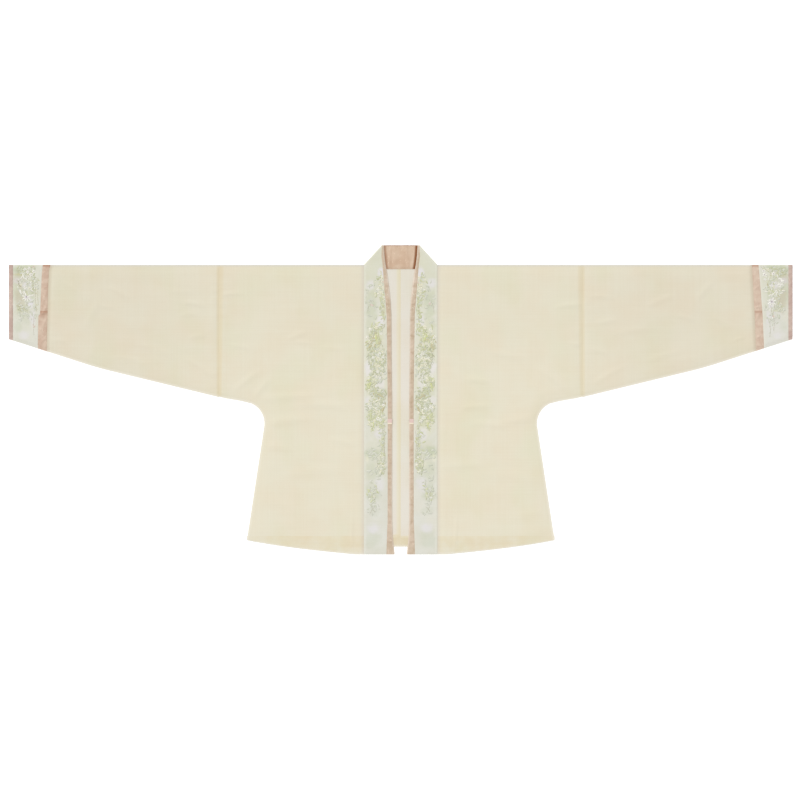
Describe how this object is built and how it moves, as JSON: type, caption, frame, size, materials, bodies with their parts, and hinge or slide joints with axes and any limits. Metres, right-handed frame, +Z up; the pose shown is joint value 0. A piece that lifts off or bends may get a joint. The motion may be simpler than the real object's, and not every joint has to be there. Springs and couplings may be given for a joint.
{
  "type": "hanfu robe",
  "caption": "Short open-front hanfu robe laid flat: one cloth body and tapered sleeves, printed front bands, collar and cuffs with rose bindings.",
  "frame": {"origin": "bottom centre of the whole laid-out garment, on the surface it lies on", "axes": "+X along the sleeves to the right as seen from above with the collar away from the viewer, +Y from hem to collar, +Z up off the surface, out of the garment's front"},
  "size_m": [1.78, 0.7018, 0.0041],
  "materials": {
    "gauze": "plain woven silk gauze, cream, matt with a soft sheen",
    "printed_silk": "pale grey-green satin with soft washes and embroidered leaf and blossom sprays",
    "rose_silk": "dusty rose figured silk binding, soft sheen",
    "tie_ribbon": "pale pink silk ribbon"
  },
  "bodies": {
    "root": {"body_left": "gauze", "body_right": "gauze", "collar_back": "printed_silk", "cuff_left": "printed_silk", "cuff_right": "printed_silk", "cuff_strip_left": "rose_silk", "cuff_strip_right": "rose_silk", "front_band_left": "printed_silk", "front_band_right": "printed_silk", "front_binding_left": "rose_silk", "front_binding_right": "rose_silk", "neck_lining": "rose_silk", "sleeve_left": "gauze", "sleeve_right": "gauze", "tie_tab_left": "tie_ribbon", "tie_tab_right": "tie_ribbon", "wrist_binding_left": "rose_silk", "wrist_binding_right": "rose_silk"}
  },
  "joints": []
}
